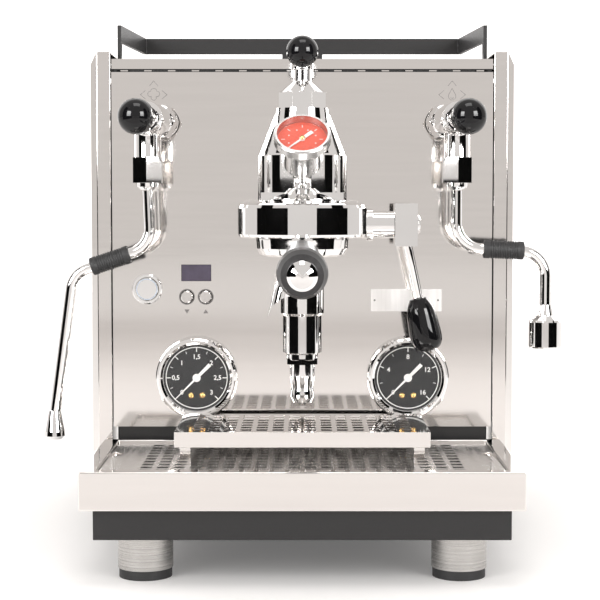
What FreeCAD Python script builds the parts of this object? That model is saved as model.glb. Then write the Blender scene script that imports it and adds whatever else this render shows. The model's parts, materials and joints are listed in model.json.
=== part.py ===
import FreeCAD, Part
import math
import os

import Sketcher

# Espresso machine with a lever group head. Millimetres, +Z up, -Y towards the user, +X to the
# user's right. The origin is the middle of the bounding box's footprint, at counter height.

DIMENSIONS = {
    # Overall
    "halfDepth": 295.0,
    "halfReach": 200.0,
    # Casing
    "bodyHalfWidth": 170.0,
    "panelY": -20.0,
    "sheetThickness": 1.5,
    "screwHead": 1.5,
    "stripWidth": 11.0,
    "bevel": 5.6,
    "topBevel": 10.0,
    "sideTop": 394.8,
    "panelBottom": 93.6,
    "panelTop": 378.4,
    "panelHalfWidth": 152.5,
    "topTrayBottom": 381.0,
    "topTrayTop": 389.0,
    "lidHalfWidth": 138.0,
    "lidFront": 132.0,
    "lidBack": 280.0,
    "lidHeight": 7.0,
    # Cup rail
    "railTop": 417.0,
    "railBand": 13.5,
    "railSheet": 3.0,
    "railFrontHalf": 149.0,
    "railBackHalf": 139.0,
    "railFront": -6.0,
    "railBack": 103.0,
    "railTab": 35.0,
    # Feet and base
    "padHeight": 7.0,
    "padRadius": 19.5,
    "footRadius": 20.3,
    "footX": 115.5,
    "footFront": -138.0,
    "footBack": 250.0,
    "baseBottom": 34.0,
    "baseTop": 55.5,
    "baseHalfWidth": 149.5,
    "baseFront": -176.0,
    "basePlate": 2.0,
    "postWidth": 12.0,
    # Inside
    "bulkheadFront": 60.0,
    "bulkheadBack": 120.0,
    "bulkheadTop": 300.0,
    "bulkheadThickness": 3.0,
    "boilerStart": 18.0,
    "boilerWall": 2.5,
    "boilerPort": 8.0,
    "brewBoilerX": -45.0,
    "brewBoilerZ": 262.0,
    "brewBoilerRadius": 42.0,
    "brewBoilerLength": 108.0,
    "steamBoilerX": 82.0,
    "steamBoilerZ": 266.0,
    "steamBoilerRadius": 48.0,
    "steamBoilerLength": 176.0,
    "pumpY": 165.0,
    "pumpZ": 108.0,
    "motorRadius": 36.0,
    "motorLength": 105.0,
    "pumpRadius": 24.0,
    "pumpLength": 42.0,
    "tankHalfWidth": 132.0,
    "tankFront": 206.0,
    "tankBack": 276.0,
    "tankBottom": 165.0,
    "tankTop": 374.0,
    "tankWall": 2.5,
    "inletX": -100.0,
    "inletZ": 92.0,
    "inletHalfWidth": 24.0,
    "inletHalfHeight": 12.0,
    "inletDepth": 34.0,
    "inletRecess": 15.0,
    # Group head
    "bellY": -120.0,
    "bellRadius": 48.0,
    "bellBottom": 248.8,
    "bellTop": 274.0,
    "bellBore": 36.0,
    "bellBoreTop": 262.0,
    "stackY": -60.0,
    "stackRadius": 34.8,
    "columnRadius": 21.5,
    "columnY": -70.0,
    "stackBottom": 240.0,
    "stackShoulder": 312.0,
    "stackTop": 347.0,
    "capRadius": 19.5,
    "capHexTop": 359.0,
    "capConeTop": 368.0,
    "capNeckRadius": 7.2,
    "capTop": 377.0,
    "neckRadius": 24.0,
    "neckZ": 268.0,
    "chamberRadius": 17.0,
    "chamberBottom": 115.7,
    "chamberNutRadius": 13.6,
    "chamberNutHeight": 4.6,
    "chamberNutRise": 33.2,
    "camZ": 257.3,
    "camFlangeRadius": 12.8,
    "camRadius": 10.5,
    "camStart": 30.0,
    "camFlangeX": 50.0,
    "camEnd": 71.2,
    "flowReach": 45.0,
    "flowBallRadius": 12.0,
    "flowBallZ": 386.7,
    "flowCollarRadius": 9.0,
    # Thermometer
    "thermometerY": -106.0,
    "thermometerZ": 292.4,
    "thermometerRadius": 21.0,
    "thermometerDial": 18.5,
    "thermometerFace": 46.0,
    "thermometerRecess": 6.4,
    # Portafilter
    "headRadius": 34.5,
    "headBottom": 234.8,
    "headTop": 248.3,
    "basketRadius": 29.5,
    "handleStart": 30.0,
    "ferruleLength": 38.0,
    "handleRadius": 16.8,
    "handleSlope": 5.6,
    "endCapRadius": 10.2,
    "endCapLength": 6.0,
    "spoutRadius": 7.8,
    "spoutBore": 5.8,
    "spoutMouth": 18.5,
    "spoutDrop": 45.5,
    "spoutLean": 18.0,
    "mouthDrop": 47.8,
    "mouthLean": 7.0,
    # Brew lever
    "leverBlockX": 71.5,
    "leverBlockWidth": 17.5,
    "leverBlockHalfDepth": 12.0,
    "leverBlockBottom": 240.7,
    "leverBlockTop": 273.8,
    "leverRodRadius": 4.0,
    "leverRodLength": 48.0,
    "leverLean": 12.0,
    "leverHandleLength": 42.0,
    "leverHandleTop": 7.2,
    "leverHandleBottom": 12.4,
    # Steam and hot-water valves
    "valveX": 110.0,
    "valveZ": 338.0,
    "valveSplay": 7.4,
    "valveRadius": 13.0,
    "valveLength": 70.5,
    "valvePivot": 78.0,
    "collarRadius": 7.0,
    "pinRadius": 2.5,
    "ballReach": 21.5,
    "ballRadius": 13.5,
    "leverStemRadius": 4.2,
    "outletRadius": 10.0,
    "nutRadius": 12.6,
    "barrelNutRadius": 14.6,
    "barrelNutLength": 16.0,
    "barrelNutStart": 14.0,
    "nutTop": 309.0,
    "nutBottom": 289.5,
    "outletBottom": 284.0,
    # Wands
    "wandX": 118.5,
    "wandY": -73.3,
    "wandRadius": 4.3,
    "wandTop": 283.7,
    "gripRadius": 7.0,
    "gripLength": 31.0,
    "steamTipRadius": 8.0,
    "steamTipLength": 22.0,
    "nozzleRadius": 12.5,
    "nozzleLength": 33.0,
    # Gauges and controls
    "gaugeX": 84.8,
    "gaugeZ": 134.0,
    "gaugeRadius": 32.7,
    "gaugeDial": 27.0,
    "gaugeDepth": 12.0,
    "gaugeBodyRadius": 25.0,
    "switchX": -124.7,
    "switchZ": 205.0,
    "switchRadius": 12.2,
    "switchCap": 9.0,
    "displayX": -85.3,
    "displayZ": 218.0,
    "displayWidth": 23.5,
    "displayHeight": 12.8,
    "buttonZ": 198.7,
    "buttonSpacing": 15.1,
    "buttonRadius": 4.9,
    "buttonHole": 6.2,
    # Drip tray
    "trayHalfWidth": 159.0,
    "trayFront": -182.0,
    "trayBack": -24.0,
    "trayBottom": 56.0,
    "trayTop": 84.0,
    "trayRim": 11.5,
    "trayLedge": 4.0,
    "trayFloor": 2.0,
    "gridTop": 81.4,
    "gridThickness": 1.5,
    "gridGap": 0.4,
    "gridHoleX": 8.3,
    "gridHoleY": 8.0,
    "gridPitchX": 12.0,
    "gridPitchY": 13.0,
    "notchRadius": 9.0,
    "notchSetback": 97.0,
    "riserHalfWidth": 94.5,
    "riserFront": -135.0,
    "riserBack": -32.0,
    "riserTop": 105.6,
    "riserLip": 94.2,
    "clearance": 0.3,
}
ZERO_MARK = 135
GRID_COLUMNS, GRID_ROWS = 20, 10
RISER_COLUMNS, RISER_ROWS = 14, 7
X_AXIS, Y_AXIS, Z_AXIS = FreeCAD.Vector(1, 0, 0), FreeCAD.Vector(0, 1, 0), FreeCAD.Vector(0, 0, 1)

document = FreeCAD.newDocument("espresso_machine")
sheet = document.addObject("Spreadsheet::Sheet", "Sizes")
for row, (alias, number) in enumerate(DIMENSIONS.items(), start=1):
    sheet.set(f"A{row}", alias)
    sheet.set(f"B{row}", str(number))
    sheet.setAlias(f"B{row}", alias)
document.recompute()


class Size:
    """A length that keeps its expression on the sheet beside its present value."""

    def __init__(self, text, value):
        self.text = text
        self.value = value

    def combine(self, sign, other, value, swap=False):
        texts = [self.text, other.text if isinstance(other, Size) else repr(float(other))]
        if swap:
            texts.reverse()
        return Size(f"({texts[0]} {sign} {texts[1]})", value)

    def __add__(self, other):
        return self.combine("+", other, self.value + number_of(other))

    def __sub__(self, other):
        return self.combine("-", other, self.value - number_of(other))

    def __rsub__(self, other):
        return self.combine("-", other, number_of(other) - self.value, swap=True)

    def __mul__(self, other):
        return self.combine("*", other, self.value * number_of(other))

    def __truediv__(self, other):
        return self.combine("/", other, self.value / number_of(other))

    def __neg__(self):
        return Size(f"(0 - {self.text})", -self.value)

    __radd__ = __add__
    __rmul__ = __mul__


def number_of(size):
    return size.value if isinstance(size, Size) else float(size)


class Sheet:
    """Reads a cell by its alias, as in D.halfDepth."""

    def __getattr__(self, alias):
        return Size(f"Sizes.{alias}", float(sheet.get(alias)))


D = Sheet()
ZERO = Size("0", 0.0)


def bind(thing, path, size):
    """Bind one property to the sheet, or set it where it is a plain number."""
    text = size.text if isinstance(size, Size) else repr(float(size))
    thing.setExpression(path, text)


def place(thing, position=(0, 0, 0), turn=None):
    if turn:
        thing.Placement = FreeCAD.Placement(FreeCAD.Vector(), turn)
    for letter, size in zip("xyz", position):
        if isinstance(size, Size) or size:
            bind(thing, f"Placement.Base.{letter}", size)
    return thing


def make(kind, name):
    return document.addObject(kind, name)


def block(name, x, y, z):
    """A box between two corners, each axis given as (low, high)."""
    box = make("Part::Box", name)
    for path, (low, high) in zip(("Length", "Width", "Height"), (x, y, z)):
        bind(box, path, high - low)
    return place(box, (x[0], y[0], z[0]))


def rod(name, radius, length, position, turn=None):
    cylinder = make("Part::Cylinder", name)
    bind(cylinder, "Radius", radius)
    bind(cylinder, "Height", length)
    return place(cylinder, position, turn)


def ball(name, radius, position):
    sphere = make("Part::Sphere", name)
    bind(sphere, "Radius", radius)
    return place(sphere, position)


def prism(name, sides, radius, height, position, spin=0, turn=None):
    nut = make("Part::Prism", name)
    nut.Polygon = sides
    bind(nut, "Circumradius", radius)
    bind(nut, "Height", height)
    spun = FreeCAD.Rotation(Z_AXIS, spin)
    return place(nut, position, turn * spun if turn else spun)


def fuse(name, *things):
    joined = make("Part::MultiFuse", name)
    joined.Shapes = list(things)
    return joined


def cut(name, base, *tools):
    removed = make("Part::Cut", name)
    removed.Base = base
    removed.Tool = tools[0] if len(tools) == 1 else fuse(f"{name}_tools", *tools)
    return removed


def compound(name, *things):
    group = make("Part::Compound", name)
    group.Links = list(things)
    return group


def origin_plane(body, role):
    return next(plane for plane in body.Origin.OriginFeatures if plane.Role == role)


def outline(body, name, role, points):
    """A closed sketch of straight edges whose corners are all bound to the sheet."""
    sketch = body.newObject("Sketcher::SketchObject", name)
    sketch.AttachmentSupport = (origin_plane(body, role), [""])
    sketch.MapMode = "FlatFace"
    corners = [FreeCAD.Vector(number_of(x), number_of(y), 0) for x, y in points]
    for index, corner in enumerate(corners):
        following = corners[(index + 1) % len(corners)]
        sketch.addGeometry(Part.LineSegment(corner, following), False)
    for index, (x, y) in enumerate(points):
        sketch.addConstraint(Sketcher.Constraint("Coincident", index, 2, (index + 1) % len(points), 1))
        for kind, size, axis in (("DistanceX", x, -2), ("DistanceY", y, -1)):
            if number_of(size) == 0:
                sketch.addConstraint(Sketcher.Constraint("PointOnObject", index, 1, axis))
                continue
            at = sketch.addConstraint(Sketcher.Constraint(kind, -1, 1, index, 1, number_of(size)))
            bind(sketch, f"Constraints[{at}]", size)
    return sketch


def turned(name, points, position=(0, 0, 0), turn=None):
    """A turned piece: (radius, height) points revolved about its own Z axis."""
    body = make("PartDesign::Body", name)
    sketch = outline(body, f"{name}_profile", "XZ_Plane", points)
    revolution = body.newObject("PartDesign::Revolution", f"{name}_turned")
    revolution.Profile = sketch
    revolution.ReferenceAxis = (sketch, ["V_Axis"])
    revolution.Angle = 360.0
    sketch.Visibility = False
    return place(body, position, turn)


def extruded(name, role, points, length, position=(0, 0, 0)):
    """A plate or bar: an outline on an origin plane, padded by a length."""
    body = make("PartDesign::Body", name)
    sketch = outline(body, f"{name}_outline", role, points)
    pad = body.newObject("PartDesign::Pad", f"{name}_pad")
    pad.Profile = sketch
    bind(pad, "Length", length)
    return place(body, position)


def bent_path(points, bend):
    """Straight runs joined by tangent arcs of one radius."""
    edges = []
    start = points[0]
    for before, corner, after in zip(points, points[1:], points[2:]):
        inward = (before - corner).normalize()
        outward = (after - corner).normalize()
        half = inward.getAngle(outward) / 2
        first = corner + inward * (bend / math.tan(half))
        last = corner + outward * (bend / math.tan(half))
        middle = corner + (inward + outward).normalize() * (bend / math.sin(half) - bend)
        edges.append(Part.LineSegment(start, first).toShape())
        edges.append(Part.Arc(first, middle, last).toShape())
        start = last
    edges.append(Part.LineSegment(start, points[-1]).toShape())
    return Part.Wire(edges)


def bent_rod(name, points, bend, radius, position):
    """A round rod along a bent path, whose points are measured from its position."""
    path = [FreeCAD.Vector(*(number_of(size) for size in point)) for point in points]
    ring = Part.Circle(path[0], path[1] - path[0], number_of(radius)).toShape()
    feature = make("Part::Feature", name)
    feature.Shape = bent_path(path, bend).makePipeShell([Part.Wire(ring)], True, False)
    return place(feature, position)


def rectangle(x0, y0, x1, y1, z):
    corners = [(x0, y0), (x1, y0), (x1, y1), (x0, y1), (x0, y0)]
    return Part.makePolygon([FreeCAD.Vector(x, y, z) for x, y in corners])


def hole_grid(columns, rows, middle_y, z):
    """The wires of a centred grid of rectangular holes."""
    half_x, half_y = D.gridHoleX.value / 2, D.gridHoleY.value / 2
    wires = []
    for column in range(columns):
        x = (column - (columns - 1) / 2) * D.gridPitchX.value
        for line in range(rows):
            y = middle_y + (line - (rows - 1) / 2) * D.gridPitchY.value
            wires.append(rectangle(x - half_x, y - half_y, x + half_x, y + half_y, z))
    return wires


def perforated(name, border, holes, thickness):
    """A perforated sheet: one face with all its holes, given a thickness upwards."""
    feature = make("Part::Feature", name)
    face = Part.makeFace([border] + holes, "Part::FaceMakerBullseye")
    feature.Shape = face.extrude(FreeCAD.Vector(0, 0, number_of(thickness)))
    return feature


TILT_UP = FreeCAD.Rotation(X_AXIS, 45)
SPOUT_BEND = 9.0
FACE_FRONT = FreeCAD.Rotation(X_AXIS, 90)
FACE_BACK = FreeCAD.Rotation(X_AXIS, -90)
FACE_RIGHT = FreeCAD.Rotation(Y_AXIS, 90)


def feet():
    places = [(D.footX * side, y) for side in (-1, 1) for y in (D.footFront, D.footBack)]
    pads, sleeves = [], []
    for index, (x, y) in enumerate(places):
        pads.append(rod(f"pad_{index}", D.padRadius, D.padHeight, (x, y, 0)))
        height = D.baseBottom - D.padHeight
        sleeves.append(rod(f"sleeve_{index}", D.footRadius, height, (x, y, D.padHeight)))
    return [compound("foot_pads", *pads), compound("foot_sleeves", *sleeves)]


def boiler_cylinder(name, x, z, radius, length, extra=0):
    return rod(name, radius + extra, length, (x, D.boilerStart, z), FACE_BACK)


def chassis():
    width, back = D.baseHalfWidth, D.halfDepth - 4
    pan = block("pan", (-width, width), (D.baseFront, back), (D.baseBottom, D.baseTop))
    inside = D.basePlate
    hollow = block(
        "pan_hollow",
        (inside - width, width - inside),
        (D.baseFront + inside, back - inside),
        (D.baseBottom + inside, D.baseTop + 1),
    )
    pieces = [cut("pan_shell", pan, hollow)]
    floor = D.baseBottom + inside / 2
    post = D.postWidth
    for side in (-1, 1):
        low = -width if side < 0 else width - post
        for end, y in (("front", D.panelY + 4), ("back", back - post)):
            name = f"post_{end}_{'left' if side < 0 else 'right'}"
            pieces.append(block(name, (low, low + post), (y, y + post), (floor, D.topTrayBottom)))
    for name, y in (("bulkhead_front", D.bulkheadFront), ("bulkhead_back", D.bulkheadBack)):
        plate = block(name, (1 - width, width - 1), (y, y + D.bulkheadThickness), (floor, D.bulkheadTop))
        gap = D.clearance
        brew = boiler_cylinder(
            f"{name}_brew", D.brewBoilerX, D.brewBoilerZ, D.brewBoilerRadius, 300, gap
        )
        steam = boiler_cylinder(
            f"{name}_steam", D.steamBoilerX, D.steamBoilerZ, D.steamBoilerRadius, 300, gap
        )
        pieces.append(cut(f"{name}_cradle", plate, brew, steam))
    shelf = D.tankFront - 3
    splash_top = D.panelBottom + 4
    pieces.append(
        block("tank_wall", (1 - width, width - 1), (shelf, shelf + 3), (floor, D.tankBottom))
    )
    pieces.append(
        block("tank_shelf", (1 - width, width - 1), (shelf, back - 1), (D.tankBottom - 3, D.tankBottom))
    )
    pieces.append(
        block("splash_wall", (1 - width, width - 1), (D.panelY + 2, D.panelY + 5), (floor, splash_top))
    )
    return [fuse("chassis", *pieces)]


def side_skin(name, side, inset):
    """The outline of a side panel, drawn in from its outer skin by an inset."""
    outer = D.bodyHalfWidth - inset
    overrun = 1 if inset.value else 0
    inner = D.bodyHalfWidth - D.bevel - D.stripWidth - overrun
    top = D.sideTop - inset
    shoulder = D.bodyHalfWidth - D.bevel - inset * 0.5
    bottom = D.baseTop + 0.5 - 2 * overrun
    front = D.panelY + inset
    points = [
        (outer, front + D.bevel),
        (shoulder, front),
        (inner, front),
        (inner, D.halfDepth - 3.5),
        (outer, D.halfDepth - 3.5),
    ]
    upright = [(x * side, y) for x, y in points]
    plan = extruded(f"{name}_plan", "XY_Plane", upright, top - bottom, (0, 0, bottom))
    face = [
        (outer, bottom),
        (outer, top - D.topBevel),
        (shoulder, top),
        (inner, top),
        (inner, bottom),
    ]
    length = D.halfDepth * 2
    front_view = [(x * side, z) for x, z in face]
    face_bar = extruded(f"{name}_face", "XZ_Plane", front_view, length, (0, D.halfDepth, 0))
    both = make("Part::Common", f"{name}_both")
    both.Base = plan
    both.Tool = face_bar
    return both


def side_panels():
    panels = []
    for name, side in (("left", -1), ("right", 1)):
        outer = side_skin(f"side_{name}_outer", side, ZERO)
        inner = side_skin(f"side_{name}_inner", side, D.sheetThickness)
        panels.append(cut(f"side_panel_{name}", outer, inner))
    return panels


def panel_hole(name, radius, x, z):
    return rod(name, radius, 12, (x, D.panelY + 5, z), FACE_FRONT)


def front_panel():
    width, y = D.panelHalfWidth, D.panelY
    plate = block("front_plate", (-width, width), (y, y + D.sheetThickness), (D.panelBottom, D.panelTop))
    gap = D.clearance
    holes = [
        panel_hole("hole_group", D.neckRadius + gap, 0, D.neckZ),
        panel_hole("hole_switch", D.switchCap + gap, D.switchX, D.switchZ),
    ]
    for name, side in (("left", -1), ("right", 1)):
        holes.append(panel_hole(f"hole_gauge_{name}", D.gaugeBodyRadius + gap, D.gaugeX * side, D.gaugeZ))
        holes.append(panel_hole(f"hole_valve_{name}", D.valveRadius - 1, D.valveX * side, D.valveZ))
        button_x = D.displayX + D.buttonSpacing / 2 * side
        holes.append(panel_hole(f"hole_button_{name}", D.buttonHole, button_x, D.buttonZ))
    half_width, half_height = D.displayWidth / 2 + gap, D.displayHeight / 2 + gap
    holes.append(
        block(
            "hole_display",
            (D.displayX - half_width, D.displayX + half_width),
            (y - 5, y + 5),
            (D.displayZ - half_height, D.displayZ + half_height),
        )
    )
    return [cut("front_panel", plate, *holes)]


def rear_panel():
    width = D.bodyHalfWidth - D.sheetThickness
    low = D.halfDepth - D.screwHead - D.sheetThickness
    high = D.halfDepth - D.screwHead
    plate = block("rear_plate", (-width, width), (low, high), (D.baseTop + 0.5, D.sideTop - 2))
    gap = D.clearance
    opening = block(
        "inlet_opening",
        (D.inletX - D.inletHalfWidth - gap, D.inletX + D.inletHalfWidth + gap),
        (low - 5, high + 5),
        (D.inletZ - D.inletHalfHeight - gap, D.inletZ + D.inletHalfHeight + gap),
    )
    slots = []
    for line in range(8):
        z = D.neckZ + 8 * line
        slots.append(block(f"rear_slot_{line}", (ZERO - 50, ZERO + 50), (low - 5, high + 5), (z, z + 3)))
    screws = []
    for column in (-1, 0, 1):
        for line in (0, 1):
            x = (width - 9) * column
            z = D.baseTop + 15 + (D.sideTop - D.baseTop - 40) * line
            name = f"screw_{column + 1}_{line}"
            screws.append(rod(name, 4, D.screwHead, (x, D.halfDepth, z), FACE_FRONT))
    return [cut("rear_panel", plate, opening, *slots), compound("panel_screws", *screws)]


def top_tray():
    width, sheet_size = D.panelHalfWidth, D.sheetThickness
    back = D.halfDepth - 4
    low, high = D.topTrayBottom, D.topTrayTop
    tray = block("top_block", (-width, width), (D.panelY + 2, back), (low, high))
    hollow = block(
        "top_hollow",
        (sheet_size - width, width - sheet_size),
        (D.panelY + 2 + sheet_size, back - sheet_size),
        (low + sheet_size, high + 1),
    )
    lid = D.lidHalfWidth
    opening = block("lid_opening", (-lid, lid), (D.lidFront, D.lidBack), (low - 1, high + 1))
    slots = []
    for column in range(9):
        x = ZERO + (column - 4) * 24
        name = f"top_slot_{column}"
        slots.append(block(name, (x - 3, x + 3), (D.panelY + 40, D.panelY + 100), (low - 1, high)))
    gap = 0.5
    cover = block(
        "lid_block", (gap - lid, lid - gap), (D.lidFront + gap, D.lidBack - gap), (low, low + D.lidHeight)
    )
    under = block(
        "lid_hollow",
        (gap + 2 - lid, lid - gap - 2),
        (D.lidFront + gap + 2, D.lidBack - gap - 2),
        (low - 1, low + D.lidHeight - 2),
    )
    finger = rod("lid_finger_hole", 11, 40, (0, D.lidFront + 30, low - 10))
    return [cut("top_tray", tray, hollow, opening, *slots), cut("tank_lid", cover, under, finger)]


def cup_rail():
    front, back, sheet_size = D.railFront, D.railBack, D.railSheet
    wide, narrow = D.railFrontHalf, D.railBackHalf
    points = [
        (-wide, front),
        (-narrow, back),
        (narrow, back),
        (wide, front),
        (wide - sheet_size, front),
        (narrow - sheet_size, back - sheet_size),
        (sheet_size - narrow, back - sheet_size),
        (sheet_size - wide, front),
    ]
    bottom = D.railTop - D.railBand
    band = extruded("rail_band", "XY_Plane", points, D.railBand, (0, 0, bottom))
    floor = D.topTrayBottom + D.sheetThickness
    legs = []
    for name, low in (("left", -wide), ("right", wide - sheet_size)):
        leg_name = f"rail_leg_{name}"
        legs.append(block(leg_name, (low, low + sheet_size), (front, front + 9), (floor, bottom + 3)))
    tab = D.railTab / 2
    legs.append(block("rail_tab", (-tab, tab), (back - sheet_size, back), (floor, bottom + 3)))
    legs.append(block("rail_foot", (-tab, tab), (back - 14, back), (floor, floor + 2)))
    return [fuse("cup_rail", band, *legs)]


def domed(name, radius, length, position, turn):
    """A boiler shell with domed ends, open at the port in its far end."""
    wall, port = D.boilerWall, D.boilerPort

    def dome(skin, low, high):
        """The quarter profile of both ends, from the near end's edge to the far end's edge."""
        near = [(skin * 0.6, low), (skin * 0.88, low + radius * 0.1), (skin, low + radius * 0.26)]
        far = [(skin, high - radius * 0.26), (skin * 0.88, high - radius * 0.1), (skin * 0.6, high)]
        return near + far

    outer = dome(radius, ZERO, length)
    inner = dome(radius - wall, wall, length - wall)
    points = [(0, 0)] + outer + [(port, length), (port, length - wall)] + inner[::-1] + [(0, wall)]
    return turned(name, points, position, turn)


def insides():
    brew = domed(
        "brew_boiler",
        D.brewBoilerRadius,
        D.brewBoilerLength,
        (D.brewBoilerX, D.boilerStart, D.brewBoilerZ),
        FACE_BACK,
    )
    steam = domed(
        "steam_boiler",
        D.steamBoilerRadius,
        D.steamBoilerLength,
        (D.steamBoilerX, D.boilerStart, D.steamBoilerZ),
        FACE_BACK,
    )
    start = D.motorLength * -0.7
    motor = rod("motor", D.motorRadius, D.motorLength, (start, D.pumpY, D.pumpZ), FACE_RIGHT)
    head_at = (start + D.motorLength, D.pumpY, D.pumpZ)
    head = rod("pump_head", D.pumpRadius, D.pumpLength, head_at, FACE_RIGHT)
    saddle = block(
        "motor_saddle",
        (start + 15, start + D.motorLength - 15),
        (D.pumpY - 20, D.pumpY + 20),
        (D.baseBottom + D.basePlate, D.pumpZ - D.motorRadius + 8),
    )
    wall = D.tankWall
    tank = block(
        "tank_block",
        (-D.tankHalfWidth, D.tankHalfWidth),
        (D.tankFront, D.tankBack),
        (D.tankBottom, D.tankTop),
    )
    hollow = block(
        "tank_hollow",
        (wall - D.tankHalfWidth, D.tankHalfWidth - wall),
        (D.tankFront + wall, D.tankBack - wall),
        (D.tankBottom + wall, D.tankTop + 1),
    )
    return [brew, steam, fuse("rotary_pump", motor, head, saddle), cut("water_tank", tank, hollow)]


def power_inlet():
    x, z, back = D.inletX, D.inletZ, D.halfDepth - 1
    wide, tall = D.inletHalfWidth, D.inletHalfHeight
    shell = block("inlet_block", (x - wide, x + wide), (back - D.inletDepth, back), (z - tall, z + tall))
    recess = block(
        "inlet_recess",
        (x - wide + 4, x + wide - 4),
        (back - D.inletRecess, back + 1),
        (z - tall + 3, z + tall - 3),
    )
    pins = []
    for index, (across, up) in enumerate(((-11, 2), (0, 4), (11, 2))):
        pin = block(
            f"inlet_pin_{index}",
            (x + across - 1, x + across + 1),
            (back - D.inletRecess - 1, back - 4),
            (z + up - 2, z + up + 2),
        )
        pins.append(pin)
    return [fuse("power_inlet", cut("inlet_shell", shell, recess), *pins)]


def group_head():
    radius, bottom, top = D.bellRadius, D.bellBottom, D.bellTop
    bell = turned(
        "bell",
        [
            (D.bellBore, bottom),
            (radius - 2.5, bottom),
            (radius - 0.7, bottom + 0.8),
            (radius, bottom + 2.6),
            (radius, top - 3.4),
            (radius - 0.9, top - 1.2),
            (radius - 3, top),
            (radius - 12, top + 1.6),
            (radius - 22, top + 3),
            (14, top + 7),
            (11, top + 9.5),
            (9, top + 11),
            (0, top + 11),
            (0, D.bellBoreTop),
            (D.bellBore, D.bellBoreTop),
        ],
        (0, D.bellY, 0),
    )
    slope = D.stackTop - D.stackShoulder
    stack = turned(
        "stack",
        [
            (0, D.stackBottom),
            (D.stackRadius - 8, D.stackBottom),
            (D.stackRadius - 1, D.stackBottom + 8),
            (D.stackRadius, D.stackBottom + 12),
            (D.stackRadius, D.stackShoulder - 1.5),
            (D.stackRadius - 0.8, D.stackShoulder),
            (D.capRadius + 1, D.stackTop - slope * 0.04),
            (D.capRadius, D.stackTop),
            (0, D.stackTop),
        ],
        (0, D.stackY, 0),
    )
    bridge = block(
        "bridge",
        (-D.stackRadius + 4, D.stackRadius - 4),
        (D.bellY + 8, D.stackY),
        (D.bellBoreTop + 1, top + 8),
    )
    column = turned(
        "column",
        [
            (0, D.bellTop - 6),
            (D.columnRadius, D.bellTop - 6),
            (D.columnRadius, D.stackTop - 12),
            (D.capRadius + 0.6, D.stackTop - 0.6),
            (0, D.stackTop - 0.6),
        ],
        (0, D.columnY, 0),
    )
    neck = rod("neck", D.neckRadius, 50, (0, D.panelY + 8, D.neckZ), FACE_FRONT)
    flange = rod("neck_flange", D.neckRadius + 7, 5, (0, D.panelY, D.neckZ), FACE_FRONT)
    seat_at = (0, D.thermometerY + 8, D.thermometerZ - 8)
    seat = rod("thermometer_seat", 7, 13, seat_at, TILT_UP)
    cam_bore = rod("cam_bore", D.camRadius + D.clearance, 40, (D.camStart, D.stackY, D.camZ), FACE_RIGHT)
    bore_height = D.bellBoreTop - D.headBottom + 1
    head_bore = rod("head_bore", D.bellBore, bore_height, (0, D.bellY, D.headBottom - 1))
    casting = fuse("group_casting", bell, stack, column, bridge, neck, flange, seat)
    body = cut("group_body", casting, cam_bore, head_bore)
    wide = D.chamberRadius
    low = D.chamberBottom
    chamber_tube = turned(
        "chamber_tube",
        [
            (0, low),
            (4.6, low + 1),
            (7.4, low + 3.1),
            (9, low + 6.4),
            (9.3, low + 9.2),
            (8.9, low + 12.3),
            (8.3, low + 14.6),
            (8.6, low + 16.4),
            (9.9, low + 24),
            (9.9, low + 34),
            (12.4, low + 37),
            (12.4, low + 41),
            (wide - 1.8, low + 42.5),
            (wide - 1.8, low + 71),
            (wide, low + 73),
            (wide, D.stackBottom),
            (0, D.stackBottom),
        ],
        (0, D.stackY, 0),
    )
    nut_at = (0, D.stackY, low + D.chamberNutRise)
    chamber_nut = prism("chamber_nut", 6, D.chamberNutRadius, D.chamberNutHeight, nut_at, 30)
    chamber = fuse("group_chamber", chamber_tube, chamber_nut)
    cap_height = D.capHexTop - D.stackTop
    octagon = prism("cap_octagon", 8, D.capRadius, cap_height, (0, D.stackY, D.stackTop), 22.5)
    cone = turned(
        "cap_cone",
        [
            (0, D.capHexTop),
            (D.capRadius - 1.2, D.capHexTop),
            (D.capNeckRadius, D.capConeTop),
            (D.capNeckRadius, D.capTop),
            (0, D.capTop),
        ],
        (0, D.stackY, 0),
    )
    cam = fuse(
        "cam_housing",
        rod("cam_barrel", D.camRadius, D.camEnd - D.camStart, (D.camStart, D.stackY, D.camZ), FACE_RIGHT),
        rod("cam_flange", D.camFlangeRadius, 4.5, (D.camFlangeX, D.stackY, D.camZ), FACE_RIGHT),
    )
    return [body, chamber, fuse("group_cap", octagon, cone), cam]


def flow_control():
    low = D.capTop + D.clearance
    arm = fuse(
        "flow_arm",
        rod("flow_hub", D.flowCollarRadius, 11, (0, D.stackY, low)),
        bent_rod(
            "flow_rod",
            [(0, 0, 0), (0, -D.flowReach + D.flowBallRadius - 1, D.flowBallZ - low - 5)],
            5,
            4,
            (0, D.stackY, low + 5),
        ),
    )
    knob = ball("flow_knob", D.flowBallRadius, (0, D.stackY - D.flowReach, D.flowBallZ))
    return [arm, cut("flow_ball", knob, arm)]


def thermometer():
    at = (0, D.thermometerY, D.thermometerZ)
    radius, dial, face = D.thermometerRadius, D.thermometerDial, D.thermometerFace
    case = turned(
        "thermometer_case",
        [
            (0, 2),
            (3, 2),
            (3, 8),
            (6.5, 9),
            (8.5, 12.4),
            (12.4, 13),
            (13.4, 14.2),
            (13.4, 32.4),
            (16.8, 33.4),
            (17, 37),
            (radius - 0.8, 38),
            (radius, 39),
            (radius, face - 1),
            (radius - 1, face),
            (dial, face),
            (dial, face - D.thermometerRecess),
            (0, face - D.thermometerRecess),
        ],
        at,
        TILT_UP,
    )
    glass = turned("thermometer_glass", glass_points(dial, face), at, TILT_UP)
    pointer_height = face - D.thermometerRecess + 0.3
    return [case, glass, pointer("thermometer_pointer", dial, pointer_height, at, TILT_UP)]


def glass_points(dial, face):
    rim = dial - D.clearance
    return [(0, face - 1.6), (rim, face - 1.6), (rim, face - 0.6), (0, face - 0.6)]


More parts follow.
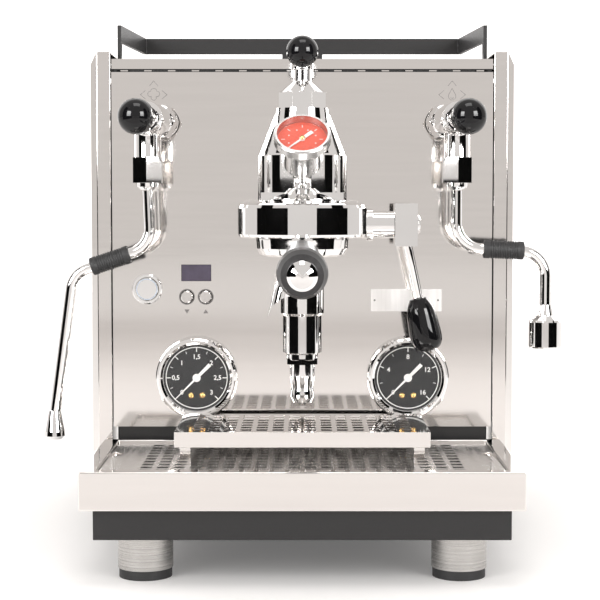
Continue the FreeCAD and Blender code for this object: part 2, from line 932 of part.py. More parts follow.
def pointer(name, dial, height, at, turn):
    """A needle on a hub. At rest its narrow tip is on the zero mark, at the lower left."""
    hub = rod(f"{name}_hub", dial * 0.12, 1.3, (0, 0, height))
    half = [(0.3, 0.84), (0.8, 0.1), (1.2, -0.1), (1.5, -0.56)]
    right = [(x, dial * y) for x, y in half]
    left = [(-x, y) for x, y in reversed(right)]
    needle = extruded(f"{name}_needle", "XY_Plane", right + left, 0.8, (0, 0, height + 0.2))
    at_zero = turn * FreeCAD.Rotation(Z_AXIS, ZERO_MARK)
    return place(fuse(name, hub, needle), at, at_zero)


def gauges():
    pieces = []
    radius, dial, depth = D.gaugeRadius, D.gaugeDial, D.gaugeDepth
    for name, side in (("boiler_gauge", -1), ("pump_gauge", 1)):
        at = (D.gaugeX * side, D.panelY, D.gaugeZ)
        case = turned(
            f"{name}_case",
            [
                (0, -38),
                (D.gaugeBodyRadius, -38),
                (D.gaugeBodyRadius, 0.3),
                (radius, 0.3),
                (radius, depth - 4),
                (radius - 0.9, depth - 1.4),
                (radius - 2.4, depth),
                (radius - 4, depth),
                (dial, depth - 1.2),
                (dial, depth - 4.6),
                (0, depth - 4.6),
            ],
            at,
            FACE_FRONT,
        )
        glass = turned(f"{name}_glass", glass_points(dial, depth - 0.9), at, FACE_FRONT)
        pieces += [case, glass, pointer(f"{name}_pointer", dial, depth - 4.3, at, FACE_FRONT)]
    return pieces


def controls():
    at = (D.switchX, D.panelY, D.switchZ)
    bezel = turned(
        "power_switch_bezel",
        [
            (D.switchCap + 0.3, 0.2),
            (D.switchRadius, 0.2),
            (D.switchRadius, 1.6),
            (D.switchRadius - 1, 2.6),
            (D.switchCap + 0.9, 2.6),
            (D.switchCap + 0.3, 2),
        ],
        at,
        FACE_FRONT,
    )
    button = turned(
        "power_button",
        [(0, -12), (D.switchCap, -12), (D.switchCap, 3.6), (D.switchCap - 0.8, 4.4), (0, 4.4)],
        at,
        FACE_FRONT,
    )
    half_width, half_height = D.displayWidth / 2, D.displayHeight / 2
    window = block(
        "display_window",
        (D.displayX - half_width, D.displayX + half_width),
        (D.panelY - 0.6, D.panelY + 4),
        (D.displayZ - half_height, D.displayZ + half_height),
    )
    pieces = [bezel, button, window]
    for name, side in (("button_down", -1), ("button_up", 1)):
        x = D.displayX + D.buttonSpacing / 2 * side
        radius = D.buttonRadius
        points = [(0, -8), (radius, -8), (radius, 1.6), (radius - 0.7, 2.2), (0, 2.2)]
        pieces.append(turned(name, points, (x, D.panelY, D.buttonZ), FACE_FRONT))
    return pieces


def valve(name, side):
    """One valve: fixed body with its outlet, swinging collar, tilting lever and ball."""
    splay = number_of(D.valveSplay)
    along = FreeCAD.Rotation(Z_AXIS, splay * side) * FACE_FRONT
    sine, cosine = math.sin(math.radians(splay)), math.cos(math.radians(splay))
    at = (D.valveX * side, D.panelY, D.valveZ)
    radius, length = D.valveRadius, D.valveLength

    def beyond(reach):
        return (D.valveX * side + reach * (sine * side), D.panelY - reach * cosine, D.valveZ)

    barrel = turned(
        f"{name}_barrel",
        [
            (0, -6),
            (radius - 3, -6),
            (radius - 3, 3.2),
            (radius - 1, 3.2),
            (radius - 1, 6.4),
            (radius - 2.5, 9),
            (radius - 2.5, 34),
            (radius, 37),
            (radius, length - 4),
            (radius - 3, length),
            (0, length),
        ],
        at,
        along,
    )
    nut_at = beyond(D.barrelNutStart)
    barrel_nut = prism(f"{name}_barrel_nut", 6, D.barrelNutRadius, D.barrelNutLength, nut_at, 0, along)
    outlet_x, outlet_y = D.wandX * side, D.wandY
    outlet_at = (outlet_x, outlet_y, D.nutTop - 2)
    outlet = rod(f"{name}_outlet", D.outletRadius, D.valveZ - D.nutTop + 2, outlet_at)
    nut_height = D.nutTop - D.nutBottom
    nut = prism(f"{name}_nut", 6, D.nutRadius, nut_height, (outlet_x, outlet_y, D.nutBottom), 30)
    foot = turned(
        f"{name}_foot",
        [
            (0, D.outletBottom),
            (5.6, D.outletBottom),
            (8.6, D.outletBottom + 2.6),
            (8.6, D.nutBottom + 1),
            (0, D.nutBottom + 1),
        ],
        (outlet_x, outlet_y, 0),
    )
    body = fuse(f"{name}_valve_body", barrel, barrel_nut, outlet, nut, foot)
    pin_reach = D.collarRadius + 1
    x, y, z = beyond(D.valvePivot)
    cross = FreeCAD.Rotation(Z_AXIS, splay * side) * FACE_RIGHT
    cross_x, cross_y = x - pin_reach * cosine, y - pin_reach * (sine * side)
    collar = fuse(
        f"{name}_collar",
        ball(f"{name}_collar_ball", D.collarRadius, (x, y, z)),
        rod(f"{name}_swing_pin", D.pinRadius, pin_reach * 2, (x, y, z - pin_reach)),
        rod(f"{name}_lift_pin", D.pinRadius, pin_reach * 2, (cross_x, cross_y, z), cross),
    )
    stem_start = D.collarRadius + D.clearance
    lever = turned(
        f"{name}_lever",
        [
            (0, stem_start),
            (D.leverStemRadius - 1, stem_start),
            (D.leverStemRadius, stem_start + 1),
            (D.leverStemRadius, D.ballReach - 6),
            (0, D.ballReach - 6),
        ],
        beyond(D.valvePivot),
        along,
    )
    knob = ball(f"{name}_knob", D.ballRadius, beyond(D.valvePivot + D.ballReach))
    return [body, collar, lever, cut(f"{name}_ball", knob, lever)]


def unit(start, end):
    """The unit vector from one (x, z) point to another, in the XZ plane."""
    across, up = (number_of(end[index]) - number_of(start[index]) for index in (0, 1))
    return FreeCAD.Vector(across, 0, up).normalize()


def wand(name, side, route, bend, grip_start):
    """A wand that hangs from its valve: (x, z) route points, x counted outwards."""
    pivot = (D.wandX * side, D.wandY, D.wandTop)
    points = [(x * side, 0, z) for x, z in route]
    pipe = bent_rod(f"{name}_pipe", points, bend, D.wandRadius, pivot)
    corner, far = (points[1][0], points[1][2]), (points[2][0], points[2][2])
    along = unit(corner, far)
    start = [number_of(corner[0]) + along.x * grip_start, number_of(corner[1]) + along.z * grip_start]
    turn = FreeCAD.Rotation(Z_AXIS, along)
    bore, outer, length = D.wandRadius + 0.05, D.gripRadius, D.gripLength
    grip = turned(
        f"{name}_grip",
        [
            (bore, 0),
            (outer - 0.8, 0),
            (outer, 1),
            (outer, length - 1),
            (outer - 0.8, length),
            (bore, length),
        ],
        (pivot[0] + start[0], pivot[1], pivot[2] + start[1]),
        turn,
    )
    return [pipe, grip]


def wands():
    steam_reach = D.halfReach - D.steamTipRadius - D.wandX
    steam_route = [(0, 0), (-1.5, -43), (steam_reach - 15, -64), (steam_reach - 0.7, -170)]
    pieces = wand("steam", -1, steam_route, 19.0, 17.0)
    tip_radius, tip_length = D.steamTipRadius, D.steamTipLength
    pieces.append(
        turned(
            "steam_tip",
            [
                (0, 0),
                (tip_radius - 2.5, 0),
                (tip_radius, 2.6),
                (tip_radius - 0.3, 6),
                (D.wandRadius + 0.4, tip_length),
                (0, tip_length),
            ],
            (-(D.halfReach - tip_radius), D.wandY, D.wandTop - 170 - tip_length),
        )
    )
    water_reach = D.halfReach - D.nozzleRadius - D.wandX
    water_route = [(0, 0), (0, -44), (water_reach, -47), (water_reach, -88)]
    pieces += wand("water", 1, water_route, 20.0, 21.0)
    radius, length = D.nozzleRadius, D.nozzleLength
    pieces.append(
        turned(
            "water_tip",
            [
                (0, 6),
                (radius - 2, 6),
                (radius - 2, 0),
                (radius - 0.5, 0),
                (radius, 1),
                (radius, length - 13),
                (radius - 1, length - 11.5),
                (D.wandRadius + 2.2, length - 8),
                (D.wandRadius + 0.5, length),
                (0, length),
            ],
            (D.halfReach - radius, D.wandY, D.wandTop - 88 - length),
        )
    )
    return pieces


def brew_lever():
    low_x, width = D.leverBlockX, D.leverBlockWidth
    depth = D.leverBlockHalfDepth
    knuckle = block(
        "lever_knuckle",
        (low_x, low_x + width),
        (D.stackY - depth, D.stackY + depth),
        (D.leverBlockBottom, D.leverBlockTop),
    )
    nut = turned(
        "lever_nut",
        [(0, 0), (8, 0), (8, 1), (6, 2.6), (0, 3.4)],
        (low_x + width, D.stackY, D.camZ),
        FACE_RIGHT,
    )
    top = (low_x + width / 2, D.stackY, D.leverBlockBottom + 6)
    lean = FreeCAD.Rotation(Y_AXIS, 180 - number_of(D.leverLean))
    stick = rod("lever_rod", D.leverRodRadius, D.leverRodLength + 12, top, lean)
    start, length = D.leverRodLength, D.leverHandleLength
    thin, thick = D.leverHandleTop, D.leverHandleBottom
    bore = D.leverRodRadius + 0.05
    handle = turned(
        "brew_lever_handle",
        [
            (bore, start),
            (thin - 0.8, start),
            (thin, start + 1),
            (thin + 2.9, start + length * 0.17),
            (thick - 0.8, start + length * 0.36),
            (thick, start + length * 0.62),
            (thick, start + length * 0.76),
            (thick - 0.8, start + length * 0.86),
            (thick - 2.8, start + length * 0.935),
            (thick - 6.2, start + length * 0.98),
            (0, start + length),
            (0, start + 12.2),
            (bore, start + 12.2),
        ],
        top,
        lean,
    )
    return [fuse("brew_lever", knuckle, nut, stick), handle]


def portafilter():
    at = (0, D.bellY, 0)
    radius, bottom, top = D.headRadius, D.headBottom, D.headTop
    bowl = turned(
        "head_bowl",
        [
            (0, bottom),
            (radius - 8, bottom),
            (radius - 3, bottom + 1.6),
            (radius - 0.6, bottom + 6),
            (radius, top - 1),
            (radius, top + 8),
            (D.basketRadius + 0.3, top + 8),
            (D.basketRadius + 0.3, bottom + 3),
            (0, bottom + 3),
        ],
        at,
    )
    slope = number_of(D.handleSlope)
    down = FreeCAD.Rotation(X_AXIS, 90 + slope)
    axis_at = (0, D.bellY - D.handleStart, D.headTop - 6.5)
    reach = (D.halfDepth + axis_at[1]) / math.cos(math.radians(slope))
    ferrule = turned(
        "head_ferrule",
        [(0, 2), (7, 2), (6.5, 12), (8, 22), (9.5, D.ferruleLength), (0, D.ferruleLength)],
        axis_at,
        down,
    )
    head = fuse("portafilter_head", bowl, ferrule)
    cup = D.basketRadius
    basket = turned(
        "portafilter_basket",
        [
            (0, bottom + 3.3),
            (cup - 2, bottom + 3.3),
            (cup, bottom + 6),
            (cup, top + 8),
            (cup + 2.5, top + 8.3),
            (cup + 2.5, top + 9),
            (cup - 0.8, top + 9),
            (cup - 0.8, bottom + 6.3),
            (cup - 2.4, bottom + 4.1),
            (0, bottom + 4.1),
        ],
        at,
    )
    # where it leaves the holder, bends aside and bends down again
    spout_path = [(0, 0, 0), (0, 0, -10), (5 - D.spoutLean, 0, -24), (-D.spoutLean, 0, -D.spoutDrop)]
    spout_at = (0, D.bellY, bottom)
    mouth_at = (-D.mouthLean, D.bellY + 20, bottom - D.mouthDrop)
    spout = cut(
        "portafilter_spout",
        bent_rod("spout_horn", spout_path, SPOUT_BEND, D.spoutRadius, spout_at),
        bent_rod("spout_bore", spout_path, SPOUT_BEND, D.spoutBore, spout_at),
        rod("spout_mouth", D.spoutMouth, 40, mouth_at, FACE_FRONT),
    )
    start, end, wide = D.ferruleLength, reach - D.endCapLength, D.handleRadius
    span = end - start
    handle = turned(
        "portafilter_handle",
        [
            (0, start),
            (9.5, start),
            (10.5, start + 2),
            (12, start + span * 0.12),
            (12.2, start + span * 0.3),
            (14, start + span * 0.55),
            (16.2, start + span * 0.78),
            (wide, start + span * 0.88),
            (wide - 0.7, start + span * 0.94),
            (wide - 3, end - 0.8),
            (D.endCapRadius, end),
            (0, end),
        ],
        axis_at,
        down,
    )
    cap = D.endCapRadius
    end_cap = turned(
        "portafilter_end_cap",
        [
            (0, end),
            (cap, end),
            (cap - 0.3, end + 2),
            (cap - 2.4, reach - 2),
            (cap - 6, reach - 0.5),
            (0, reach),
        ],
        axis_at,
        down,
    )
    return [head, basket, spout, handle, end_cap]


def drip_tray():
    width, front, back = D.trayHalfWidth, D.trayFront, D.trayBack
    rim, ledge = D.trayRim, D.trayLedge
    seat = D.gridTop - D.gridThickness
    outside = block("tray_block", (-width, width), (front, back), (D.trayBottom, D.trayTop))
    upper = block(
        "tray_upper",
        (rim - width, width - rim),
        (front + rim, back - rim / 2),
        (seat, D.trayTop + 1),
    )
    lower = block(
        "tray_lower",
        (rim + ledge - width, width - rim - ledge),
        (front + rim + ledge, back - rim / 2 - ledge),
        (D.trayBottom + D.trayFloor, seat + 1),
    )
    tray = cut("drip_tray", outside, upper, lower)
    gap = D.gridGap.value
    half = (width - rim).value - gap
    low, high = (front + rim).value + gap, (back - rim / 2).value - gap
    z, middle = seat.value, (low + high) / 2
    notch_y, notch = (front + D.notchSetback).value, D.notchRadius.value

    def point(x, y):
        return FreeCAD.Vector(x, y, z)

    def line(start, end):
        return Part.LineSegment(point(*start), point(*end)).toShape()

    def bite(side):
        ends = [(half * side, notch_y - notch * side), (half * side, notch_y + notch * side)]
        return Part.Arc(point(*ends[0]), point((half - notch) * side, notch_y), point(*ends[1])).toShape()

    border = Part.Wire(
        [
            line((-half, low), (half, low)),
            line((half, low), (half, notch_y - notch)),
            bite(1),
            line((half, notch_y + notch), (half, high)),
            line((half, high), (-half, high)),
            line((-half, high), (-half, notch_y + notch)),
            bite(-1),
            line((-half, notch_y - notch), (-half, low)),
        ]
    )
    grid = perforated("drip_grid", border, hole_grid(GRID_COLUMNS, GRID_ROWS, middle, z), D.gridThickness)
    return [tray, grid]


def cup_riser():
    width, front, back = D.riserHalfWidth, D.riserFront, D.riserBack
    sheet_size = D.sheetThickness
    low = (D.riserTop - sheet_size).value
    border = rectangle(-width.value, front.value, width.value, back.value, low)
    middle = (front.value + back.value) / 2
    top = perforated("riser_top", border, hole_grid(RISER_COLUMNS, RISER_ROWS, middle, low), sheet_size)
    lip = (D.riserLip, D.riserTop - sheet_size / 2)
    rails = [
        block("riser_front", (-width, width), (front, front + sheet_size), lip),
        block("riser_back", (-width, width), (back - sheet_size, back), lip),
        block("riser_left", (-width, sheet_size - width), (front, back), lip),
        block("riser_right", (width - sheet_size, width), (front, back), lip),
    ]
    for side in (-1, 1):
        for end, y in (("front", front + 2), ("back", back - 10)):
            x = (width - 8) * side
            name = f"riser_leg_{end}_{'left' if side < 0 else 'right'}"
            rails.append(block(name, (x - 4, x + 4), (y, y + 8), (D.gridTop, D.riserTop - sheet_size / 2)))
    return [fuse("cup_riser", top, *rails)]


def build():
    nodes = feet() + chassis() + side_panels() + front_panel() + rear_panel() + top_tray()
    nodes += cup_rail() + insides() + power_inlet() + group_head() + flow_control() + thermometer()
    nodes += gauges() + controls() + valve("steam", -1) + valve("water", 1) + wands()
    nodes += brew_lever() + portafilter() + drip_tray() + cup_riser()
    document.recompute()
    return nodes


def check(nodes):
    failed = [thing.Name for thing in document.Objects if {"Invalid", "Error"} & set(thing.State)]
    failed += [node.Name for node in nodes if node.Shape.isNull() or not node.Shape.isValid()]
    if failed:
        raise RuntimeError(f"failed: {failed}")


nodes = build()
check(nodes)
os.makedirs("parts", exist_ok=True)
for node in nodes:
    node.Label = node.Name
    node.Shape.exportStep(f"parts/{node.Label}.step")
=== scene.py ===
import json
import math

import bmesh
import bpy
from mathutils import Matrix, Vector


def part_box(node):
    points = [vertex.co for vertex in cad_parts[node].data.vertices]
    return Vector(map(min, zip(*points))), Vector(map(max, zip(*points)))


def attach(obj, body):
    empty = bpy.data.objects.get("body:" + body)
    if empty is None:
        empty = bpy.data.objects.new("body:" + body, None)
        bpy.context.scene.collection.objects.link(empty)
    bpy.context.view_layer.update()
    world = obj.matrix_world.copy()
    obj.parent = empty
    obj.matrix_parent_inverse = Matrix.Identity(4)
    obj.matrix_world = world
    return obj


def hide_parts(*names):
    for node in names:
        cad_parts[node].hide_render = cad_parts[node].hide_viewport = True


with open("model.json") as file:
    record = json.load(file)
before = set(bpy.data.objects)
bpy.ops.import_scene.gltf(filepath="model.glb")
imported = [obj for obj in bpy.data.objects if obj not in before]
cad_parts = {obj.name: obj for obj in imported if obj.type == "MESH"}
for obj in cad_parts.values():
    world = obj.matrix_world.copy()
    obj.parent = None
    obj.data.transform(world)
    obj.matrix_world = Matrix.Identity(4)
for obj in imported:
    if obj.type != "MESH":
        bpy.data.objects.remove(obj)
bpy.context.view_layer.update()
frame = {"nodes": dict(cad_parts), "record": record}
MM = 0.001
SEGMENTS = 96


# ---------------------------------------------------------------- materials
def grainy(
    name, colour, metallic, roughness, grain=(60, 60, 60), spread=0.03, tint=0.06, bump=0.0, **sockets
):
    """A surface whose colour, roughness and relief vary with one stretched noise."""
    material = bpy.data.materials.new(name)
    material.use_nodes = True
    nodes, links = material.node_tree.nodes, material.node_tree.links
    shader = nodes["Principled BSDF"]
    shader.inputs["Metallic"].default_value = metallic
    for socket, value in sockets.items():
        shader.inputs[socket.replace("_", " ")].default_value = value
    where = nodes.new("ShaderNodeTexCoord")
    mapping = nodes.new("ShaderNodeMapping")
    mapping.inputs["Scale"].default_value = grain
    links.new(where.outputs["Object"], mapping.inputs["Vector"])
    noise = nodes.new("ShaderNodeTexNoise")
    noise.inputs["Scale"].default_value = 1.0
    noise.inputs["Detail"].default_value = 4.0
    links.new(mapping.outputs["Vector"], noise.inputs["Vector"])
    rough = nodes.new("ShaderNodeMapRange")
    rough.inputs["From Min"].default_value = 0.3
    rough.inputs["From Max"].default_value = 0.7
    rough.inputs["To Min"].default_value = max(roughness - spread, 0.0)
    rough.inputs["To Max"].default_value = roughness + spread
    links.new(noise.outputs["Fac"], rough.inputs["Value"])
    links.new(rough.outputs["Result"], shader.inputs["Roughness"])
    ramp = nodes.new("ShaderNodeValToRGB")
    ramp.color_ramp.elements[0].position = 0.3
    ramp.color_ramp.elements[1].position = 0.7
    ramp.color_ramp.elements[0].color = [channel * (1 - tint) for channel in colour] + [1]
    ramp.color_ramp.elements[1].color = [min(channel * (1 + tint), 1) for channel in colour] + [1]
    links.new(noise.outputs["Fac"], ramp.inputs["Fac"])
    links.new(ramp.outputs["Color"], shader.inputs["Base Color"])
    if bump:
        relief = nodes.new("ShaderNodeBump")
        relief.inputs["Strength"].default_value = 0.5
        relief.inputs["Distance"].default_value = bump
        links.new(noise.outputs["Fac"], relief.inputs["Height"])
        links.new(relief.outputs["Normal"], shader.inputs["Normal"])
    return material


STEEL = (0.80, 0.775, 0.755)
MATERIALS = {
    "polished_steel": grainy("polished_steel", STEEL, 1.0, 0.075, (14, 14, 220), 0.012, 0.012),
    "perforated_steel": grainy(
        "perforated_steel", (0.80, 0.78, 0.76), 1.0, 0.13, (300, 20, 20), 0.05, 0.04,
    ),
    "brushed_steel": grainy(
        "brushed_steel", (0.47, 0.455, 0.44), 1.0, 0.27, (8, 8, 900), 0.07, 0.16, 0.00001,
    ),
    "black_paint": grainy(
        "black_paint", (0.010, 0.0095, 0.010), 0.0, 0.38, (900, 900, 900), 0.06, 0.2, 0.00002,
    ),
    "boiler_steel": grainy("boiler_steel", (0.6, 0.58, 0.56), 1.0, 0.3, (60, 400, 60), 0.06, 0.1),
    "motor_paint": grainy(
        "motor_paint", (0.05, 0.07, 0.11), 0.0, 0.45, (300, 300, 300), 0.05, 0.15, 0.00003,
    ),
    "tank_plastic": grainy("tank_plastic", (0.75, 0.8, 0.83), 0.0, 0.25, (40, 40, 40), 0.05, 0.05),
    "black_plastic": grainy(
        "black_plastic", (0.024, 0.023, 0.024), 0.0, 0.36, (700, 700, 700), 0.05, 0.2, 0.00001,
    ),
    "screw_steel": grainy("screw_steel", (0.5, 0.49, 0.48), 1.0, 0.25, (500, 500, 500), 0.05, 0.1),
    "chrome": grainy("chrome", (0.9, 0.895, 0.89), 1.0, 0.035, (40, 40, 40), 0.012, 0.015),
    "basket_steel": grainy(
        "basket_steel", (0.7, 0.69, 0.67), 1.0, 0.18, (200, 200, 200), 0.04, 0.05,
    ),
    "gauge_glass": grainy(
        "gauge_glass", (0.95, 0.97, 0.98), 0.0, 0.03, (30, 30, 30), 0.01, 0.01,
        Alpha=0.02, Specular_IOR_Level=0.2,
    ),
    "pointer_white": grainy(
        "pointer_white", (0.88, 0.87, 0.85), 0.0, 0.4, (500, 500, 500), 0.05, 0.03,
    ),
    "display_glass": grainy(
        "display_glass", (0.075, 0.06, 0.10), 0.0, 0.12, (200, 200, 200), 0.03, 0.12, Coat_Weight=0.6,
    ),
    "button_steel": grainy(
        "button_steel", (0.78, 0.76, 0.745), 1.0, 0.16, (600, 600, 40), 0.04, 0.05,
    ),
    "gloss_black": grainy(
        "gloss_black", (0.006, 0.006, 0.007), 0.0, 0.035, (60, 60, 60), 0.015, 0.2,
        Specular_IOR_Level=0.35,
    ),
    "grip_rubber": grainy(
        "grip_rubber", (0.018, 0.018, 0.019), 0.0, 0.55, (1200, 1200, 1200), 0.08, 0.25, 0.00004,
    ),
}
PRINT_WHITE = grainy("print_white", (0.82, 0.82, 0.8), 0.0, 0.5, (800, 800, 800), 0.05, 0.04)
PRINT_GREY = grainy("print_grey", (0.2, 0.19, 0.185), 0.0, 0.5, (800, 800, 800), 0.05, 0.1)
DIAL_BLACK = grainy(
    "dial_black", (0.011, 0.0105, 0.011), 0.0, 0.5, (600, 600, 600), 0.06, 0.2, Specular_IOR_Level=0.2,
)
DIAL_RED = grainy("dial_red", (0.72, 0.075, 0.03), 0.0, 0.45, (400, 400, 400), 0.05, 0.08)
BRASS = grainy("brass", (0.85, 0.55, 0.2), 1.0, 0.2, (500, 500, 500), 0.05, 0.1)
# Painted shade: the near-black matt colour of the sheet that stands in for the shade inside the vent
# gap.
PAINTED_GAP_SHADE = grainy("painted_gap_shade", (0.01, 0.01, 0.01), 0.0, 0.7, (200, 200, 200), 0.05, 0.2)
BLACK_CARD = grainy(
    "black_card", (0.003, 0.003, 0.003), 0.0, 0.9, (50, 50, 50), 0.02, 0.1, Specular_IOR_Level=0.0,
)
GRID_STEEL = grainy("grid_steel", (0.82, 0.80, 0.78), 1.0, 0.22, (300, 20, 20), 0.05, 0.04)
CASE_SATIN = grainy("case_satin", (0.62, 0.61, 0.60), 1.0, 0.24, (500, 500, 500), 0.03, 0.05)
LAMP_RING = grainy("lamp_ring", (0.55, 0.62, 0.72), 0.0, 0.3, (400, 400, 400), 0.05, 0.05)

SLOT_OF = {part["node"]: part["material_slot"] for part in frame["record"]["subparts"]}


SOFT_EDGES = {
    "drip_tray": 0.0012,
    "cup_riser": 0.0005,
    "brew_lever": 0.0009,
    "side_panel_left": 0.0006,
    "side_panel_right": 0.0006,
    "chassis": 0.0015,
    "cup_rail": 0.0005,
    "tank_lid": 0.0008,
    "group_cap": 0.0006,
    "steam_valve_body": 0.0006,
    "water_valve_body": 0.0006,
}


def dress(node):
    """Give a CAD node the material of its slot, and soft edges where it is made of sheet or block."""
    thing = frame["nodes"][node]
    thing.data.materials.clear()
    thing.data.materials.append(MATERIALS[SLOT_OF[node]])
    if node in SOFT_EDGES:
        weld = thing.modifiers.new("weld", "WELD")
        weld.merge_threshold = 0.00001
        bevel = thing.modifiers.new("soft_edges", "BEVEL")
        bevel.width = SOFT_EDGES[node]
        bevel.segments = 3
        bevel.limit_method = "ANGLE"
        bevel.angle_limit = math.radians(28)
        bevel.harden_normals = True


for node_name in frame["nodes"]:
    dress(node_name)
frame["nodes"]["thermometer_case"].data.materials[0] = CASE_SATIN
frame["nodes"]["drip_grid"].data.materials[0] = GRID_STEEL


# ---------------------------------------------------------------- mesh helpers
def finish_piece(name, mesh, material, body, smooth=False, replaces=()):
    mesh.materials.append(material)
    for polygon in mesh.polygons:
        polygon.use_smooth = smooth
    piece = bpy.data.objects.new(name, mesh)
    bpy.context.scene.collection.objects.link(piece)
    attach(piece, body)
    if replaces:
        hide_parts(*replaces)
    return piece


def face_matrix(centre, up, out):
    """A frame whose X runs right, Y up and Z out of a face."""
    out, up = Vector(out).normalized(), Vector(up).normalized()
    matrix = Matrix((up.cross(out), up, out)).transposed().to_4x4()
    return Matrix.Translation(Vector(centre)) @ matrix


def smooth_profile(points, steps=6):
    """Catmull-Rom points through a turned piece's outline; a repeated point keeps a corner."""
    result = []
    for index in range(len(points) - 1):
        a, b = points[index], points[index + 1]
        before = points[max(index - 1, 0)]
        after = points[min(index + 2, len(points) - 1)]
        if a == b:
            continue
        for step in range(steps):
            t = step / steps
            result.append(
                tuple(
                    0.5
                    * (
                        2 * a[axis]
                        + (b[axis] - before[axis]) * t
                        + (2 * before[axis] - 5 * a[axis] + 4 * b[axis] - after[axis]) * t**2
                        + (3 * a[axis] - before[axis] - 3 * b[axis] + after[axis]) * t**3
                    )
                    for axis in (0, 1)
                )
            )
    result.append(points[-1])
    return [(max(radius, 0.0), height) for radius, height in result]


def lathe(name, profile, matrix, material, body, replaces=(), smooth=True):
    """A closed turned mesh from (radius, height) points in mm that start and end on the axis."""
    bm = bmesh.new()
    rings = []
    for radius, height in profile:
        if radius < 1e-6:
            rings.append([bm.verts.new(matrix @ Vector((0, 0, height * MM)))])
            continue
        ring = []
        for step in range(SEGMENTS):
            angle = 2 * math.pi * step / SEGMENTS
            local = Vector((radius * math.cos(angle), radius * math.sin(angle), height)) * MM
            ring.append(bm.verts.new(matrix @ local))
        rings.append(ring)
    for low, high in zip(rings, rings[1:]):
        for step in range(SEGMENTS):
            corners = [low[step % len(low)], low[(step + 1) % len(low)]]
            corners += [high[(step + 1) % len(high)], high[step % len(high)]]
            unique = list(dict.fromkeys(corners))
            if len(unique) > 2:
                bm.faces.new(unique)
    bmesh.ops.recalc_face_normals(bm, faces=bm.faces)
    mesh = bpy.data.meshes.new(name)
    bm.to_mesh(mesh)
    bm.free()
    return finish_piece(name, mesh, material, body, smooth, replaces)


def add_prism(bm, outline, matrix, low, high):
    """A flat shape in mm, standing on a face from one height to another."""
    bottom = [bm.verts.new(matrix @ (Vector((x, y, low)) * MM)) for x, y in outline]
    top = [bm.verts.new(matrix @ (Vector((x, y, high)) * MM)) for x, y in outline]
    bm.faces.new(top)
    bm.faces.new(bottom[::-1])
    for index in range(len(outline)):
        after = (index + 1) % len(outline)
        bm.faces.new((bottom[index], bottom[after], top[after], top[index]))


def add_band(bm, outer, inner, matrix, low, high):
    """A closed band between two outlines that have the same number of points."""
    loops = [
        [bm.verts.new(matrix @ (Vector((x, y, level)) * MM)) for x, y in outline]
        for outline, level in ((outer, low), (outer, high), (inner, high), (inner, low))
    ]
    for loop, following in zip(loops, loops[1:] + loops[:1]):
        for index in range(len(outer)):
            after = (index + 1) % len(outer)
            bm.faces.new((loop[index], loop[after], following[after], following[index]))


def circle(radius, count=SEGMENTS, centre=(0, 0)):
    x, y = centre
    angles = [2 * math.pi * step / count for step in range(count)]
    return [(x + radius * math.cos(angle), y + radius * math.sin(angle)) for angle in angles]


def bar(start, end, width):
    """A straight stroke's outline."""
    along = (Vector(end) - Vector(start)).normalized()
    side = Vector((-along.y, along.x)) * width / 2
    corners = (Vector(start) - side, Vector(end) - side, Vector(end) + side, Vector(start) + side)
    return [tuple(corner) for corner in corners]


def printed(name, matrix, material, body, outlines=(), bands=(), low=0.0, high=0.12):
    bm = bmesh.new()
    for outline in outlines:
        add_prism(bm, outline, matrix, low, high)
    for outer, inner in bands:
        add_band(bm, outer, inner, matrix, low, high)
    bmesh.ops.recalc_face_normals(bm, faces=bm.faces)
    mesh = bpy.data.meshes.new(name)
    bm.to_mesh(mesh)
    bm.free()
    return finish_piece(name, mesh, material, body)


def numerals(name, entries, matrix, size, material, body):
    """Printed numbers: (text, x, y) entries in mm, joined into one mesh."""
    bm = bmesh.new()
    for text, x, y in entries:
        curve = bpy.data.curves.new(f"{name}_text", "FONT")
        curve.body = text
        curve.size = size * MM
        curve.extrude = 0.05 * MM
        curve.offset = 0.0001
        curve.align_x, curve.align_y = "CENTER", "CENTER"
        holder = bpy.data.objects.new(f"{name}_holder", curve)
        bpy.context.scene.collection.objects.link(holder)
        bpy.context.view_layer.update()
        evaluated = holder.evaluated_get(bpy.context.evaluated_depsgraph_get())
        mesh = bpy.data.meshes.new_from_object(evaluated)
        mesh.transform(matrix @ Matrix.Translation((x * MM, y * MM, 0.06 * MM)))
        bm.from_mesh(mesh)
        bpy.data.objects.remove(holder)
        bpy.data.meshes.remove(mesh)
        bpy.data.curves.remove(curve)
    mesh = bpy.data.meshes.new(name)
    bm.to_mesh(mesh)
    bm.free()
    return finish_piece(name, mesh, material, body)


def middle(node):
    low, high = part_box(node)
    return (low + high) / 2


def rectangle(x, half_wide, half_tall):
    """An outline in mm about a point on the X axis."""
    left, right = x - half_wide, x + half_wide
    return [(left, -half_tall), (right, -half_tall), (right, half_tall), (left, half_tall)]


def polar(radius, degrees):
    """A dial position: degrees run clockwise from straight up."""
    return (radius * math.sin(math.radians(degrees)), radius * math.cos(math.radians(degrees)))


# ---------------------------------------------------------------- camera, light and stage
SENSOR = 36.0
WARM_WHITE = (1, 0.99, 0.98)
LENS = 95.04
CAMERA_AT = (0, -1.293, 0.2753)
CAMERA_DOWN = 3.559
CAMERA_SHIFT = -0.0038
MIDDLE_Y = -0.1  # what the lights and cards stand round
AIM = Vector((0, MIDDLE_Y, 0.25))
LAMP_AZIMUTH = 42  # degrees either side of straight ahead
camera_data = bpy.data.cameras.new("camera")
camera_data.sensor_width = SENSOR
camera_data.lens = LENS
camera_data.shift_x = CAMERA_SHIFT
camera = bpy.data.objects.new("camera", camera_data)
bpy.context.scene.collection.objects.link(camera)
camera.location = CAMERA_AT
camera.rotation_euler = (math.radians(90 - CAMERA_DOWN), 0, 0)
bpy.context.scene.camera = camera
bpy.context.scene.view_settings.view_transform = "Standard"

